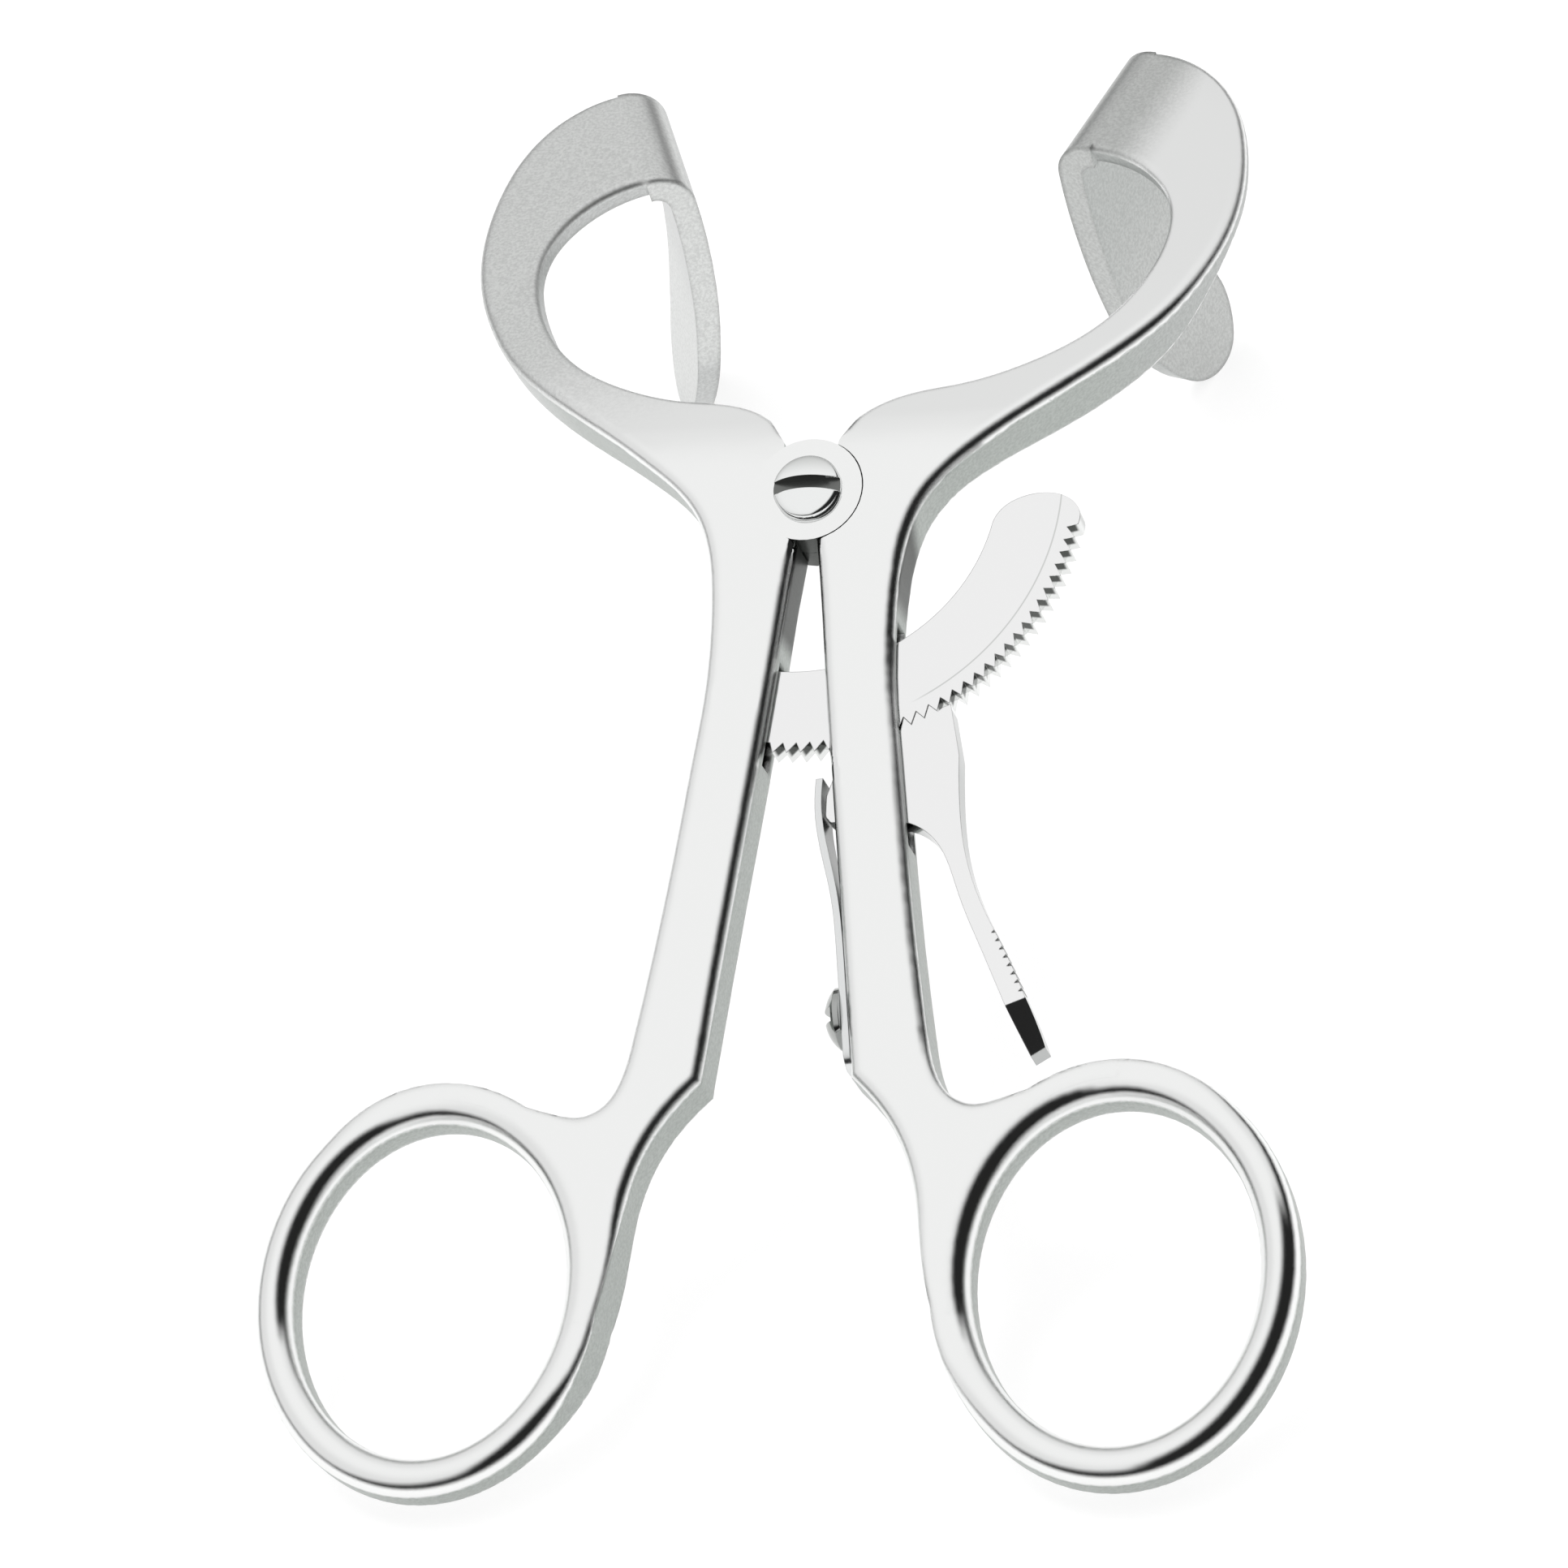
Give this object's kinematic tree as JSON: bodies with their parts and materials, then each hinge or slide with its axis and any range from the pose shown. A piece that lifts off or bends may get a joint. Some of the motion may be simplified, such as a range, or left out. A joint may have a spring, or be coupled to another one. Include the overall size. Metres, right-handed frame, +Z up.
{
  "type": "mouth gag",
  "caption": "Ratchet mouth gag: ringed arms squeezed by hand spread hooked bite blades; a toothed arc rack and a sprung pawl lever hold the opening.",
  "frame": {"origin": "on the table under the middle of the bounding box", "axes": "+Z up, the front faces look up; +Y towards the jaws, the finger rings are at -Y; +X towards the arm that carries the pawl lever"},
  "size_m": [0.0794, 0.1246, 0.0322],
  "materials": {
    "polished_steel": "mirror polished, satin on the jaws",
    "spring_steel": "polished spring steel",
    "screw_steel": "polished"
  },
  "bodies": {
    "right_arm": {"right_arm": "polished_steel", "pivot_screw": "screw_steel", "pawl_pin": "screw_steel", "spring_screw": "screw_steel"},
    "left_arm": {"left_arm": "polished_steel", "ratchet_rack": "polished_steel", "rack_pin": "screw_steel"},
    "pawl": {"pawl_lever": "polished_steel"},
    "leaf": {"leaf_spring": "spring_steel"}
  },
  "joints": [
    {"name": "jaw_hinge", "type": "hinge", "parent": "right_arm", "child": "left_arm", "pos_m": [0, 0.01318, 0.02821], "axis": [0, -0.3331, 0.9429], "range_deg": [-44.25, 8.85]},
    {"name": "pawl_pivot", "type": "hinge", "parent": "right_arm", "child": "pawl", "pos_m": [0.0044, -0.00869, 0.02048], "axis": [0, 0.3331, -0.9429], "range_deg": [0, 11], "stiffness_Nm_per_rad": 0.05, "springref_deg": -5.73},
    {"name": "leaf_flex", "type": "hinge", "parent": "right_arm", "child": "leaf", "pos_m": [0.0052, -0.02746, 0.01385], "axis": [0, -0.3331, 0.9429], "range_deg": [0, 2.4], "deforming": ["leaf_spring"]}
  ],
  "couplings": [
    {"joint": "leaf_flex", "follows": "pawl_pivot", "ratio": 0.205}
  ]
}
